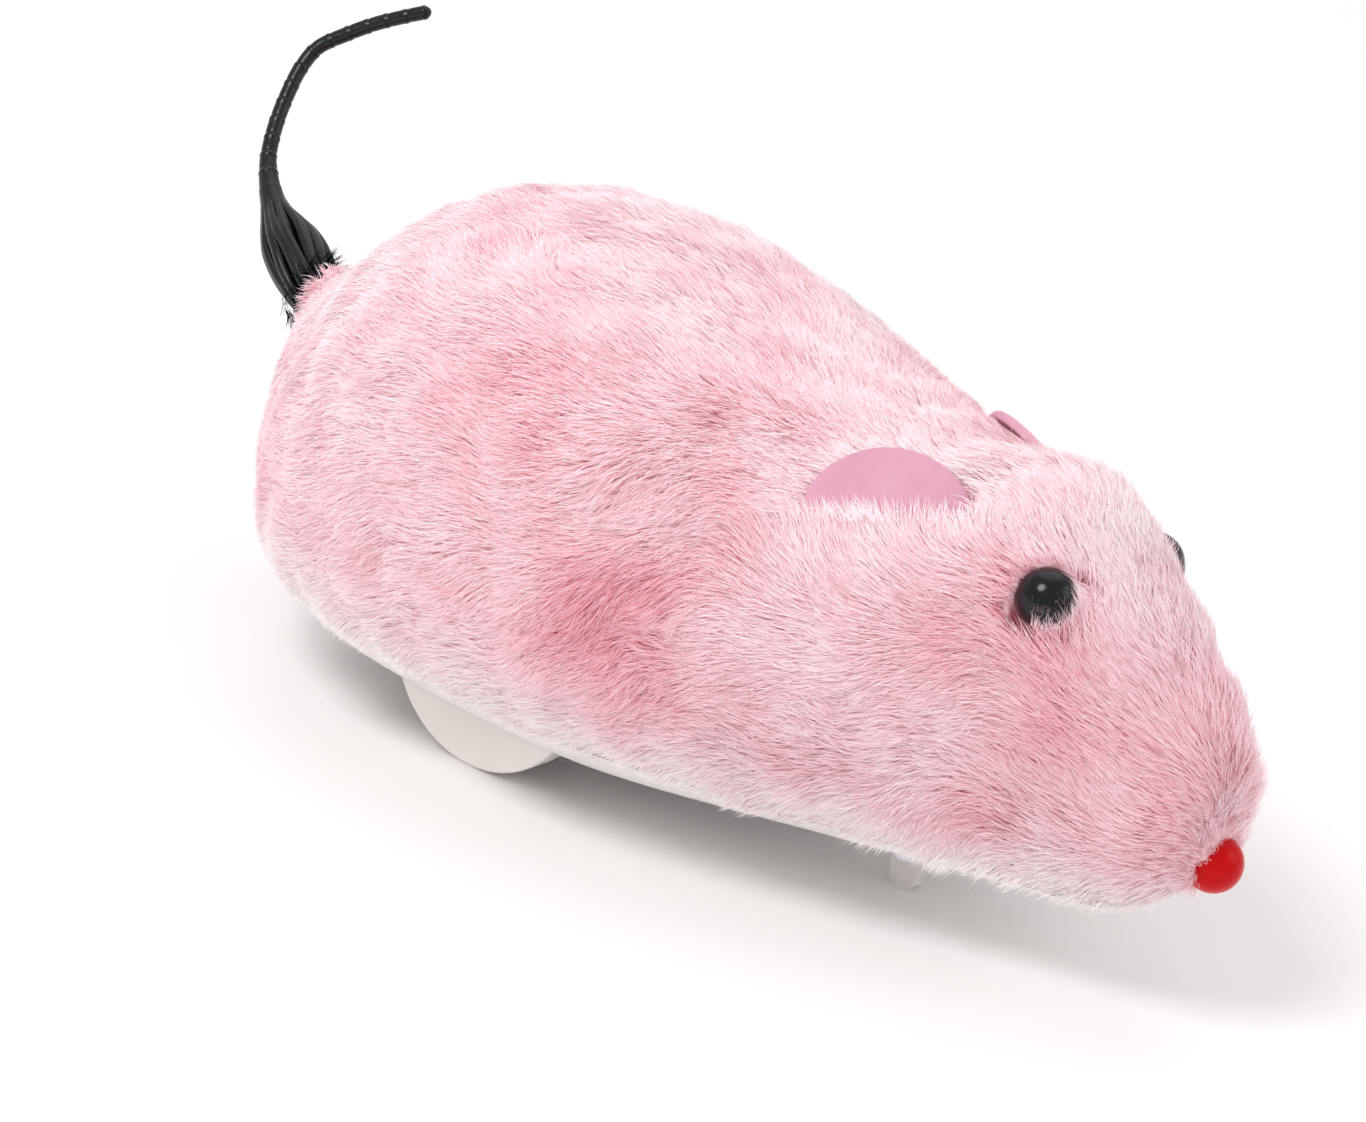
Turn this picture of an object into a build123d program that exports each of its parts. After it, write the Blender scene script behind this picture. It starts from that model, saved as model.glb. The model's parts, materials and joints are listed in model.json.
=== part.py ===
from build123d import *
from math import acos, atan2, cos, degrees, pi, radians, sin, sqrt, tan
import os

# Plush mouse on a clockwork chassis. Millimetres. +X towards the nose, +Y the mouse's left,
# +Z up, floor at z = 0, origin under the middle of the 160 x 70 footprint.

# ---- driving dimensions -------------------------------------------------------------------
NOSE_X = 80.0            # front of the nose bead
HALF_WIDTH = 35.0        # plush body and the key's outer end
BELLY_Z = 5.1            # flat underside of the chassis
PARTING_Z = 11.0         # chassis rim, where the upper moulding stands
HEM_Z = 11.2             # lower edge of the plush

# Outer form of the plush: distance along X, half-width, top height, bottom height, and the
# flat bottom's share of the half-width.
BODY_STATIONS = [
    (-56.5, 3.6, 37.6, 27.0, 0.48),
    (-54.0, 9.6, 39.4, 18.5, 0.48),
    (-48.0, 17.0, 42.6, 11.5, 0.48),
    (-35.0, 29.4, 54.2, 6.0, 0.48),
    (-21.0, 34.3, 59.2, 5.0, 0.48),
    (-6.0, 34.95, 59.7, 5.0, 0.48),
    (9.0, 33.9, 57.4, 5.0, 0.44),
    (23.0, 30.0, 54.2, 5.6, 0.34),
    (39.0, 23.4, 52.8, 7.0, 0.28),
    (52.0, 17.2, 53.2, 8.2, 0.28),
    (60.0, 13.6, 48.2, 9.2, 0.30),
    (68.0, 11.0, 41.2, 10.9, 0.36),
    (75.0, 8.3, 34.8, 14.4, 0.40),
    (78.2, 3.6, 30.0, 20.5, 0.48),
]
WIDEST_SHARE = 0.38      # height of the widest line, as a share of the section's height

PLUSH_THICK = 4.8        # backing cloth and pile
SHELL_WALL = 1.6
CHASSIS_WALL = 1.6
CHASSIS_INSET = 0.8      # chassis side behind the plush
SEAT_GAP = 0.2           # between plush and upper moulding

# Cutting blocks and cutters reach past the body on every side
BELOW_Z = -5.0
ABOVE_Z = 90.0
OUTSIDE_Y = 60.0
SLAB_SIZE = (220.0, 120.0)

# Drive wheels and their axle
WHEEL_R = 13.3
WHEEL_THICK = 4.0
WHEEL_OUTER_Y = 22.5
AXLE_X = -6.5
AXLE_Z = WHEEL_R
AXLE_R = 1.0
WHEEL_GAP = 1.2          # round each wheel in its slot

# Front skid under the chassis
SKID_X = 39.7
SKID_TOP_LENGTH = 5.4
SKID_FOOT_LENGTH = 3.2
SKID_THICK = 2.0
SKID_ROUND = 0.9
SKID_ROOT_Z = 8.2

# Clockwork
MODULE = 0.6
TOOTH_SHARE = 0.43       # tooth width as a share of the pitch, leaving free play
PRESSURE_ANGLE = radians(20)
ADDENDUM = 0.85 * MODULE
DEDENDUM = 1.2 * MODULE
PINION_TEETH = 10
IDLER_TEETH = 30
GREAT_TEETH = 44
CROWN_TEETH = 24
TAIL_PINION_TEETH = 8
PIVOT_R = 0.8
ARBOR_R = 1.5
ARBOR_PIVOT_R = 1.0
RUNNING = 0.05           # radial play of a shaft in its hole
PLATE_OUTER_Y = 11.6
PLATE_THICK = 1.0
TAIL_AXIS_Z = 34.0

IDLER_DIRECTION = 45.0   # from the drive axle, degrees up from +X
ARBOR_DIRECTION = 15.0   # from the idler

MESH_SMALL = MODULE * (PINION_TEETH + IDLER_TEETH) / 2
MESH_LARGE = MODULE * (PINION_TEETH + GREAT_TEETH) / 2


def polar(start, reach, angle):
    """Point at a distance and an angle from start, in the X-Z plane."""
    return (start[0] + reach * cos(radians(angle)), start[1] + reach * sin(radians(angle)))


AXLE = (AXLE_X, AXLE_Z)
IDLER = polar(AXLE, MESH_SMALL, IDLER_DIRECTION)
ARBOR = polar(IDLER, MESH_LARGE, ARBOR_DIRECTION)
CROWN_RISE = TAIL_AXIS_Z - ARBOR[1]
CROWN = (ARBOR[0] - sqrt(MESH_LARGE**2 - CROWN_RISE**2), TAIL_AXIS_Z)
CROWN_DIRECTION = degrees(atan2(CROWN_RISE, CROWN[0] - ARBOR[0]))

# Places along Y: (lower, upper) side of each moving piece between the plates
SPRING_Y = (-9.0, -2.2)
GREAT_Y = (-0.8, 0.8)
SMALL_PINION_Y = (-1.2, 1.2)
CLICK_Y = (0.95, 1.7)
RATCHET_Y = (1.0, 1.8)
CROWN_DISC_Y = (3.15, 4.4)
IDLER_WHEEL_Y = (6.4, 7.8)
AXLE_PINION_Y = (6.0, 8.2)
PLATE_INNER_Y = PLATE_OUTER_Y - PLATE_THICK

PILLARS = [(-9.5, 28.5), (12.0, 42.4), (32.6, 30.0), (12.0, 10.2)]
PILLAR_R = 1.3
RIVET_R = 0.9
RIVET_PROUD = 0.5

os.makedirs("parts", exist_ok=True)


def save(part, name):
    part.label = name
    export_step(part, f"parts/{name}.step")


def across(y, place=(0.0, 0.0)):
    """Plane seen from the mouse's right side: extrusions from it run towards -Y."""
    return Plane(origin=(place[0], y, place[1]), x_dir=(1, 0, 0), z_dir=(0, -1, 0))


def lengthwise(x, z=TAIL_AXIS_Z, y=0.0):
    """Plane square to the mouse's length: extrusions from it run towards +X."""
    return Plane(origin=(x, y, z), x_dir=(0, 1, 0), z_dir=(1, 0, 0))


def rod(place, radius, span, bore=0.0):
    """Round bar, or tube, along Y over span = (lower, upper)."""
    with BuildPart() as bar:
        with BuildSketch(across(span[1], place)):
            Circle(radius)
            if bore:
                Circle(bore, mode=Mode.SUBTRACT)
        extrude(amount=span[1] - span[0])
    return bar.part


# ---- body forms ---------------------------------------------------------------------------
def body_form(inset, height_inset, lift=0.0):
    """The body's outer form, drawn in by inset at its sides and ends and height_inset at its top."""
    first, last = BODY_STATIONS[0][0], BODY_STATIONS[-1][0]
    middle = (first + last) / 2
    length_scale = 1 - 2 * inset / (last - first)
    width_scale = 1 - inset / HALF_WIDTH
    tallest = max(station[2] for station in BODY_STATIONS)
    height_scale = 1 - height_inset / (tallest - BELLY_Z)
    with BuildPart() as form:
        for x, half_width, top, bottom, flat_share in BODY_STATIONS:
            half = half_width * width_scale
            low = BELLY_Z + (bottom - BELLY_Z) * height_scale + lift
            high = BELLY_Z + (top - BELLY_Z) * height_scale + lift
            widest = low + WIDEST_SHARE * (high - low)
            flat = flat_share * half
            section_x = middle + (x - middle) * length_scale
            with BuildSketch(lengthwise(section_x, 0.0)):
                with BuildLine():
                    Line((-flat, low), (flat, low))
                    EllipticalCenterArc((flat, widest), half - flat, widest - low, 270)
                    EllipticalCenterArc((0, widest), half, high - widest, 0)
                    EllipticalCenterArc((0, widest), half, high - widest, 90)
                    EllipticalCenterArc((-flat, widest), half - flat, widest - low, 180)
                make_face()
        loft()
    return form.part


def slab(low_z, high_z):
    """Everything between two heights."""
    with BuildPart() as block:
        with BuildSketch(Plane.XY.offset(low_z)):
            Rectangle(*SLAB_SIZE)
        extrude(amount=high_z - low_z)
    return block.part


SHELL_INSET = PLUSH_THICK
CAVITY_INSET = SHELL_INSET + SHELL_WALL
plush_form = body_form(0.0, 0.0)
seat_form = body_form(SHELL_INSET - SEAT_GAP, SHELL_INSET - SEAT_GAP)
shell_form = body_form(SHELL_INSET, SHELL_INSET)
cavity_form = body_form(CAVITY_INSET, CAVITY_INSET)
hull_form = body_form(CHASSIS_INSET, 0.0)
bilge_form = body_form(CHASSIS_INSET + CHASSIS_WALL, 0.0, lift=CHASSIS_WALL)
mouth_form = body_form(CAVITY_INSET, 0.0, lift=CHASSIS_WALL)

# Key and tail openings, used by several pieces
KEY_HOLE_R = 9.6
KEY_HOLE_INNER_Y = 15.0
ARBOR_HOLE_R = 2.2
TAIL_HOLE_R = 3.9
TAIL_HOLE_X = (-60.0, -40.0)
BUSH_R = 2.6
BUSH_FLANGE_R = 3.2
BUSH_FLANGE_THICK = 1.0

# Screws that hold the two mouldings together, from below
CHASSIS_SCREWS = [(-31.0, -12.0), (-31.0, 12.0), (44.0, -8.0), (44.0, 8.0)]
POST_R = 2.6
POST_FOOT_Z = 10.4
SCREW_R = 1.0
SCREW_HEAD_R = 2.0
SCREW_HEAD_THICK = 1.3
SCREW_HEAD_Z = 7.8
SCREW_TOP_Z = 17.0
SCREW_GAP = 0.15         # round a screw where it passes freely
SCREW_SLOT = (2.2, 0.5)
SCREW_SLOT_DEPTH = 0.7
BOSS_WALL = 1.2

# Screws that hold the clockwork to the chassis, from above
MOTOR_SCREWS = [(22.0, 14.4), (22.0, -14.4), (3.0, 14.4), (3.0, -14.4)]
LUG_Z = 10.2
LUG_THICK = 1.0
LUG_LENGTH = 7.0
LUG_REACH = 5.6
MOTOR_SCREW_TIP_Z = 7.6

# ---- beads: eyes and nose, each with a shank and a lock washer -----------------------------
EYE_R = 3.4
EYE_AT = (55.3, 10.1, 43.7)
EYE_AXIS = (0.36, 0.66, 0.66)
NOSE_R = 3.3
NOSE_AT = (NOSE_X - NOSE_R, 0.0, 19.4)
SHANK_R = 1.1
EYE_SHANK = 8.4
NOSE_SHANK = 7.6
EYE_WASHER_DEPTH = 7.25
NOSE_WASHER_DEPTH = 6.35
WASHER_R = 2.8
WASHER_THICK = 0.8
BEAD_GAP = 0.05
SHANK_GAP = 0.1


def bead_plane(side, depth):
    """Plane through an eye's axis (side 1 left, -1 right) or the nose's (side 0), facing out."""
    if side == 0:
        return Plane(origin=(NOSE_AT[0] - depth, 0, NOSE_AT[2]), z_dir=(1, 0, 0))
    axis = Vector(EYE_AXIS[0], side * EYE_AXIS[1], EYE_AXIS[2]).normalized()
    centre = Vector(EYE_AT[0], side * EYE_AT[1], EYE_AT[2])
    return Plane(origin=centre - axis * depth, z_dir=axis)


def bead(side):
    radius, shank = (EYE_R, EYE_SHANK) if side else (NOSE_R, NOSE_SHANK)
    with BuildPart() as ball:
        with Locations(bead_plane(side, 0.0)):
            Sphere(radius)
        with BuildSketch(bead_plane(side, shank)):
            Circle(SHANK_R)
        extrude(amount=shank)
    return ball.part


def bead_recess(side):
    """Room for a bead and its shank in the plush and the moulding."""
    radius, shank = (EYE_R, EYE_SHANK) if side else (NOSE_R, NOSE_SHANK)
    with BuildPart() as room:
        with Locations(bead_plane(side, 0.0)):
            Sphere(radius + BEAD_GAP)
        with BuildSketch(bead_plane(side, shank)):
            Circle(SHANK_R + SHANK_GAP)
        extrude(amount=shank)
    return room.part


save(bead(1), "eye_left")
save(bead(-1), "eye_right")
save(bead(0), "nose")

with BuildPart() as bead_washers:
    for side, depth in ((1, EYE_WASHER_DEPTH), (-1, EYE_WASHER_DEPTH), (0, NOSE_WASHER_DEPTH)):
        with BuildSketch(bead_plane(side, depth)):
            Circle(WASHER_R)
            Circle(SHANK_R, mode=Mode.SUBTRACT)
        extrude(amount=WASHER_THICK)
save(bead_washers.part, "bead_washers")

# ---- ears: flaps that lie back over the plush, their lower edge sewn into it ----------------
EAR_BASE = (37.0, 15.6, 46.0)      # middle of the sewn edge, left ear
EAR_ALONG = (0.84, -0.51, 0.17)   # along the sewn edge, towards the nose
EAR_RISE = (-0.52, -0.49, 0.70)    # from the sewn edge to the free one
EAR_HALF_LENGTH = 9.6
EAR_HEIGHT = 9.2
EAR_THICK = 1.1
EAR_EDGE_R = 0.3


def ear(side):
    along = Vector(EAR_ALONG[0], side * EAR_ALONG[1], EAR_ALONG[2]).normalized()
    rise = Vector(EAR_RISE[0], side * EAR_RISE[1], EAR_RISE[2])
    normal = along.cross(rise).normalized()
    base = Vector(EAR_BASE[0], side * EAR_BASE[1], EAR_BASE[2])
    flat = Plane(origin=base - normal * (EAR_THICK / 2), x_dir=along, z_dir=normal)
    with BuildPart() as flap:
        with BuildSketch(flat):
            with BuildLine():
                EllipticalCenterArc((0, 0), EAR_HALF_LENGTH, EAR_HEIGHT, 0, arc_size=180)
                Line((-EAR_HALF_LENGTH, 0), (EAR_HALF_LENGTH, 0))
            make_face()
        extrude(amount=EAR_THICK)
        fillet(flap.faces().sort_by(Axis(origin=base, direction=rise))[0].edges(), EAR_EDGE_R)
    return flap.part


ear_left = ear(1)
ear_right = ear(-1)
save(ear_left, "ear_left")
save(ear_right, "ear_right")

# ---- plush cover ---------------------------------------------------------------------------
with BuildPart() as fur_cover:
    add(plush_form)
    add(slab(BELOW_Z, HEM_Z), mode=Mode.SUBTRACT)
    add(seat_form, mode=Mode.SUBTRACT)
    for flap in (ear_left, ear_right):
        add(flap, mode=Mode.SUBTRACT)
    for side in (1, -1, 0):
        add(bead_recess(side), mode=Mode.SUBTRACT)
    with BuildSketch(across(OUTSIDE_Y, ARBOR)):
        Circle(KEY_HOLE_R)
    extrude(amount=OUTSIDE_Y - KEY_HOLE_INNER_Y, mode=Mode.SUBTRACT)
    with BuildSketch(lengthwise(TAIL_HOLE_X[0])):
        Circle(TAIL_HOLE_R)
    extrude(amount=TAIL_HOLE_X[1] - TAIL_HOLE_X[0], mode=Mode.SUBTRACT)
save(fur_cover.part, "fur_cover")

# ---- upper moulding ------------------------------------------------------------------------
with BuildPart() as posts:
    with BuildSketch(Plane.XY.offset(POST_FOOT_Z)):
        with Locations(*CHASSIS_SCREWS):
            Circle(POST_R)
    extrude(amount=ABOVE_Z)
    add(shell_form, mode=Mode.INTERSECT)

with BuildPart() as upper_shell:
    add(shell_form)
    add(cavity_form, mode=Mode.SUBTRACT)
    add(slab(BELOW_Z, PARTING_Z), mode=Mode.SUBTRACT)
    add(posts.part)
    with BuildSketch(Plane.XY.offset(POST_FOOT_Z)):
        with Locations(*CHASSIS_SCREWS):
            Circle(SCREW_R)
    extrude(amount=SCREW_TOP_Z + 1 - POST_FOOT_Z, mode=Mode.SUBTRACT)
    for side in (1, -1, 0):
        add(bead_recess(side), mode=Mode.SUBTRACT)
    with BuildSketch(across(OUTSIDE_Y, ARBOR)):
        Circle(ARBOR_HOLE_R)
    extrude(amount=OUTSIDE_Y - KEY_HOLE_INNER_Y, mode=Mode.SUBTRACT)
    with BuildSketch(lengthwise(TAIL_HOLE_X[0])):
        Circle(BUSH_R)
    extrude(amount=TAIL_HOLE_X[1] - TAIL_HOLE_X[0], mode=Mode.SUBTRACT)
save(upper_shell.part, "upper_shell")

# ---- chassis pan with its skid ---------------------------------------------------------------
with BuildPart() as bosses:
    with BuildSketch(Plane.XY):
        with Locations(*CHASSIS_SCREWS):
            Circle(POST_R + BOSS_WALL)
    extrude(amount=POST_FOOT_Z)
    with BuildSketch(Plane.XY):
        with Locations(*MOTOR_SCREWS):
            Circle(POST_R)
    extrude(amount=LUG_Z)
    add(hull_form, mode=Mode.INTERSECT)

with BuildPart() as pan_hollow:
    add(bilge_form)
    add(slab(PARTING_Z - CHASSIS_WALL, ABOVE_Z), mode=Mode.SUBTRACT)

with BuildPart() as lower_chassis:
    add(hull_form)
    add(slab(PARTING_Z, ABOVE_Z), mode=Mode.SUBTRACT)
    add(slab(BELOW_Z, BELLY_Z), mode=Mode.SUBTRACT)
    add(pan_hollow.part, mode=Mode.SUBTRACT)
    add(mouth_form, mode=Mode.SUBTRACT)
    add(bosses.part)
    # a slot over each drive wheel
    with BuildSketch(Plane.XY):
        wheel_middle = WHEEL_OUTER_Y - WHEEL_THICK / 2
        with Locations((AXLE_X, wheel_middle), (AXLE_X, -wheel_middle)):
            Rectangle(2 * (WHEEL_R + WHEEL_GAP), WHEEL_THICK + WHEEL_GAP)
    extrude(amount=ABOVE_Z, mode=Mode.SUBTRACT)
    # screw holes: counterbored from below, plain from above
    with BuildSketch(Plane.XY):
        with Locations(*CHASSIS_SCREWS):
            Circle(SCREW_R + SCREW_GAP)
    extrude(amount=POST_FOOT_Z + 1, mode=Mode.SUBTRACT)
    with BuildSketch(Plane.XY):
        with Locations(*CHASSIS_SCREWS):
            Circle(SCREW_HEAD_R + SCREW_GAP)
    extrude(amount=SCREW_HEAD_Z + SCREW_HEAD_THICK, mode=Mode.SUBTRACT)
    with BuildSketch(Plane.XY.offset(MOTOR_SCREW_TIP_Z)):
        with Locations(*MOTOR_SCREWS):
            Circle(SCREW_R)
    extrude(amount=ABOVE_Z, mode=Mode.SUBTRACT)
    # skid: a tapered tab with a rounded foot
    with BuildSketch(across(SKID_THICK / 2, (SKID_X, 0))):
        with BuildLine():
            foot, top = SKID_FOOT_LENGTH / 2, SKID_TOP_LENGTH / 2
            Polyline((-foot, 0), (foot, 0), (top, SKID_ROOT_Z), (-top, SKID_ROOT_Z), close=True)
        make_face()
        fillet(vertices().group_by(Axis.Y)[0], SKID_ROUND)
    extrude(amount=SKID_THICK)
save(lower_chassis.part, "lower_chassis")

with BuildPart() as chassis_screws:
    with BuildSketch(Plane.XY.offset(SCREW_HEAD_Z)):
        with Locations(*CHASSIS_SCREWS):
            Circle(SCREW_HEAD_R)
    extrude(amount=SCREW_HEAD_THICK)
    with BuildSketch(Plane.XY.offset(SCREW_HEAD_Z)):
        with Locations(*CHASSIS_SCREWS):
            Circle(SCREW_R)
    extrude(amount=SCREW_TOP_Z - SCREW_HEAD_Z)
    with BuildSketch(Plane.XY.offset(SCREW_HEAD_Z)):
        with Locations(*CHASSIS_SCREWS):
            Rectangle(*SCREW_SLOT)
            Rectangle(*reversed(SCREW_SLOT))
    extrude(amount=SCREW_SLOT_DEPTH, mode=Mode.SUBTRACT)
save(chassis_screws.part, "chassis_screws")

with BuildPart() as motor_screws:
    head_z = LUG_Z + LUG_THICK
    with BuildSketch(Plane.XY.offset(MOTOR_SCREW_TIP_Z)):
        with Locations(*MOTOR_SCREWS):
            Circle(SCREW_R)
    extrude(amount=head_z - MOTOR_SCREW_TIP_Z)
    with BuildSketch(Plane.XY.offset(head_z)):
        with Locations(*MOTOR_SCREWS):
            Circle(SCREW_HEAD_R)
    extrude(amount=SCREW_HEAD_THICK)
    with BuildSketch(Plane.XY.offset(head_z + SCREW_HEAD_THICK - SCREW_SLOT_DEPTH)):
        with Locations(*MOTOR_SCREWS):
            Rectangle(*SCREW_SLOT)
            Rectangle(*reversed(SCREW_SLOT))
    extrude(amount=SCREW_SLOT_DEPTH, mode=Mode.SUBTRACT)
save(motor_screws.part, "motor_screws")

# ---- clockwork frame -------------------------------------------------------------------------
PLATE_LOW_Z = 7.8
PLATE_HIGH_Z = 45.0
PLATE_OUTLINE = [
    (-12.5, 11.0), (-9.0, PLATE_LOW_Z), (27.0, PLATE_LOW_Z), (35.5, 16.0),
    (35.5, 33.0), (18.0, PLATE_HIGH_Z), (-2.0, PLATE_HIGH_Z), (-12.5, 38.0),
]
PLATE_CORNER_R = 3.0
BRACKET_X = (-11.5, -10.5)
BRACKET_Z = (30.5, 37.5)
BRACKET_TAB = 3.0


def motor_plate(side):
    """One side plate: side 1 left, -1 right. The lugs turn outwards onto the chassis bosses."""
    top_y = PLATE_OUTER_Y if side == 1 else -PLATE_INNER_Y
    arbor_hole = (ARBOR_R if side == 1 else ARBOR_PIVOT_R) + RUNNING
    holes = [
        (AXLE, AXLE_R + RUNNING), (IDLER, PIVOT_R + RUNNING), (CROWN, PIVOT_R + RUNNING),
        (ARBOR, arbor_hole),
    ] + [(pillar, RIVET_R) for pillar in PILLARS]
    with BuildPart() as plate:
        with BuildSketch(across(top_y)):
            with BuildLine():
                Polyline(*PLATE_OUTLINE, close=True)
            make_face()
            fillet(vertices(), PLATE_CORNER_R)
            for place, radius in holes:
                with Locations(place):
                    Circle(radius, mode=Mode.SUBTRACT)
            with Locations((sum(BRACKET_X) / 2, TAIL_AXIS_Z)):
                Rectangle(BRACKET_X[1] - BRACKET_X[0], BRACKET_TAB, mode=Mode.SUBTRACT)
        extrude(amount=PLATE_THICK)
        for x, y in MOTOR_SCREWS:
            if y * side > 0:
                lug_y = side * (PLATE_OUTER_Y + LUG_REACH / 2 - PLATE_THICK / 2)
                with BuildSketch(Plane.XY.offset(LUG_Z)):
                    with Locations((x, lug_y)):
                        Rectangle(LUG_LENGTH, LUG_REACH + PLATE_THICK)
                    with Locations((x, y)):
                        Circle(SCREW_R + SCREW_GAP, mode=Mode.SUBTRACT)
                extrude(amount=LUG_THICK)
    return plate.part


save(motor_plate(1), "motor_plate_left")
save(motor_plate(-1), "motor_plate_right")

with BuildPart() as frame_pillars:
    for place in PILLARS:
        add(rod(place, PILLAR_R, (-PLATE_INNER_Y, PLATE_INNER_Y)))
        add(rod(place, RIVET_R, (-PLATE_OUTER_Y - RIVET_PROUD, PLATE_OUTER_Y + RIVET_PROUD)))
save(frame_pillars.part, "frame_pillars")

TAIL_SHAFT_R = 1.0
with BuildPart() as tail_bracket:
    with BuildSketch(lengthwise(BRACKET_X[0], sum(BRACKET_Z) / 2)):
        Rectangle(2 * PLATE_INNER_Y, BRACKET_Z[1] - BRACKET_Z[0])
        Rectangle(2 * PLATE_OUTER_Y, BRACKET_TAB)
        Circle(TAIL_SHAFT_R + RUNNING, mode=Mode.SUBTRACT)
    extrude(amount=BRACKET_X[1] - BRACKET_X[0])
save(tail_bracket.part, "tail_bracket")

BUSH_X = (-51.75, -48.0)
with BuildPart() as tail_bush:
    with BuildSketch(lengthwise(BUSH_X[0])):
        Circle(BUSH_R)
    extrude(amount=BUSH_X[1] - BUSH_X[0])
    with BuildSketch(lengthwise(BUSH_X[0])):
        Circle(BUSH_FLANGE_R)
    extrude(amount=-BUSH_FLANGE_THICK)
    with BuildSketch(lengthwise(BUSH_X[0] - BUSH_FLANGE_THICK)):
        Circle(TAIL_SHAFT_R + RUNNING)
    extrude(amount=BUSH_X[1] - BUSH_X[0] + BUSH_FLANGE_THICK, mode=Mode.SUBTRACT)
save(tail_bush.part, "tail_bush")

# ---- gears -----------------------------------------------------------------------------------
def half_tooth(radius, teeth):
    """Half of the angle that a tooth spans at a radius: involute, and radial inside its base circle."""
    pitch_r = MODULE * teeth / 2
    base_r = pitch_r * cos(PRESSURE_ANGLE)

    def involute(r):
        slope = acos(base_r / r)
        return tan(slope) - slope

    return TOOTH_SHARE * pi / teeth + involute(pitch_r) - involute(max(radius, base_r))


def gear_outline(teeth, phase):
    """Edges of a spur gear's outline, with one tooth centred on phase (degrees)."""
    pitch_r = MODULE * teeth / 2
    root_r, tip_r = pitch_r - DEDENDUM, pitch_r + ADDENDUM

    def point(radius, angle):
        return (radius * cos(angle), radius * sin(angle))

    with BuildLine() as outline:
        for index in range(teeth):
            middle = radians(phase) + index * 2 * pi / teeth
            following = middle + 2 * pi / teeth
            rise = [point(r, middle - half_tooth(r, teeth)) for r in (root_r, pitch_r, tip_r)]
            fall = [point(r, middle + half_tooth(r, teeth)) for r in (tip_r, pitch_r, root_r)]
            ThreePointArc(*rise)
            Line(rise[-1], fall[0])
            ThreePointArc(*fall)
            Line(fall[-1], point(root_r, following - half_tooth(root_r, teeth)))
    return outline.edges()


def meshing_phase(phase, teeth, other_teeth, direction):
    """Phase of the gear lying in this direction whose gap takes the first gear's tooth."""
    pitch = 360 / teeth
    offset = (phase - direction + pitch / 2) % pitch - pitch / 2
    return direction + 180 - offset * teeth / other_teeth + 180 / other_teeth


AXLE_PHASE = IDLER_DIRECTION
IDLER_WHEEL_PHASE = meshing_phase(AXLE_PHASE, PINION_TEETH, IDLER_TEETH, IDLER_DIRECTION)
IDLER_PINION_PHASE = ARBOR_DIRECTION
GREAT_PHASE = meshing_phase(IDLER_PINION_PHASE, PINION_TEETH, GREAT_TEETH, ARBOR_DIRECTION)
CROWN_PINION_PHASE = meshing_phase(GREAT_PHASE, GREAT_TEETH, PINION_TEETH, CROWN_DIRECTION)


def spur(place, teeth, phase, span, bore):
    with BuildPart() as gear:
        with BuildSketch(across(span[1], place)):
            make_face(gear_outline(teeth, phase))
            Circle(bore, mode=Mode.SUBTRACT)
        extrude(amount=span[1] - span[0])
    return gear.part


# Drive axle, its pinion and the two wheels
AXLE_COVER = 1.0         # wheel face left closed over the axle's end
AXLE_HALF = WHEEL_OUTER_Y - AXLE_COVER
save(rod(AXLE, AXLE_R, (-AXLE_HALF, AXLE_HALF)), "drive_axle")
save(spur(AXLE, PINION_TEETH, AXLE_PHASE, AXLE_PINION_Y, AXLE_R), "axle_pinion")

WHEEL_WEB = 1.6
WHEEL_RIM = 2.0
WHEEL_HUB_R = 3.2
WHEEL_HUB_STEP = 2.0     # hub past the wheel's inner face
WHEEL_EDGE_R = 0.4


def wheel(side):
    """Drive wheel: plain outer face, inner side hollowed between rim and hub."""
    facing = Plane(origin=(AXLE_X, side * WHEEL_OUTER_Y, AXLE_Z), x_dir=(1, 0, 0), z_dir=(0, -side, 0))
    with BuildPart() as disc:
        with BuildSketch(facing):
            Circle(WHEEL_R)
        extrude(amount=WHEEL_THICK)
        fillet(disc.edges(), WHEEL_EDGE_R)
        with BuildSketch(facing.offset(WHEEL_WEB)):
            Circle(WHEEL_R - WHEEL_RIM)
            Circle(WHEEL_HUB_R, mode=Mode.SUBTRACT)
        extrude(amount=WHEEL_THICK, mode=Mode.SUBTRACT)
        with BuildSketch(facing.offset(WHEEL_THICK)):
            Circle(WHEEL_HUB_R)
        extrude(amount=WHEEL_HUB_STEP)
        with BuildSketch(facing.offset(AXLE_COVER)):
            Circle(AXLE_R)
        extrude(amount=WHEEL_THICK + WHEEL_HUB_STEP, mode=Mode.SUBTRACT)
    return disc.part


save(wheel(1), "wheel_left")
save(wheel(-1), "wheel_right")

# Idler: a shaft turning in the plates, with a wheel and a pinion moulded as one
GEAR_SHAFT_R = 1.0
SLEEVE_R = 1.9           # between the two toothed parts of one moulding
SHOULDER = 0.3           # end play of a shaft between the plates


def pivoted_shaft(place):
    body_half = PLATE_INNER_Y - SHOULDER
    with BuildPart() as shaft:
        add(rod(place, GEAR_SHAFT_R, (-body_half, body_half)))
        add(rod(place, PIVOT_R, (-PLATE_OUTER_Y, PLATE_OUTER_Y)))
    return shaft.part


save(pivoted_shaft(IDLER), "idler_shaft")
with BuildPart() as idler_gear:
    add(spur(IDLER, PINION_TEETH, IDLER_PINION_PHASE, SMALL_PINION_Y, GEAR_SHAFT_R))
    add(spur(IDLER, IDLER_TEETH, IDLER_WHEEL_PHASE, IDLER_WHEEL_Y, GEAR_SHAFT_R))
    add(rod(IDLER, SLEEVE_R, (SMALL_PINION_Y[1], IDLER_WHEEL_Y[0]), GEAR_SHAFT_R))
save(idler_gear.part, "idler_gear")

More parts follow.
